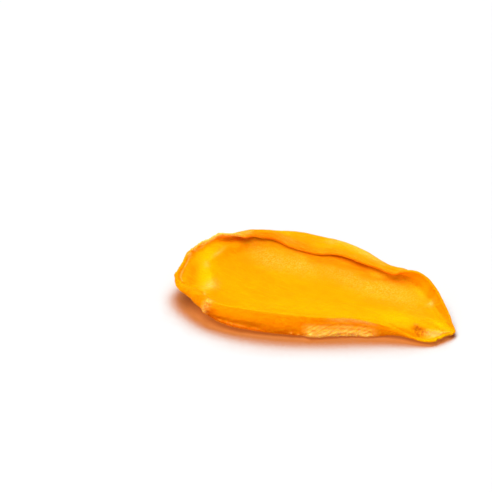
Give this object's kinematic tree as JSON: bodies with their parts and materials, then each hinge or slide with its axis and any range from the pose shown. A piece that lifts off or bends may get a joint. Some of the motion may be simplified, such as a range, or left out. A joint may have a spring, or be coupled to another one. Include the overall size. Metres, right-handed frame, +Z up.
{
  "type": "dried mango slice",
  "caption": "Curled slice of dried mango with one long rim rolled over, upturned ends and a square-cut long side.",
  "frame": {"origin": "centre of the slice's outline in plan, on the surface it rests on", "axes": "+X along the slice towards its pointed tip, +Y from the square-cut side to the rolled rim, +Z up"},
  "size_m": [0.1012, 0.0482, 0.0161],
  "materials": {
    "dried_mango": "dried fruit flesh, satin, slightly translucent"
  },
  "bodies": {
    "root": {"mango_slice": "dried_mango"}
  },
  "joints": []
}
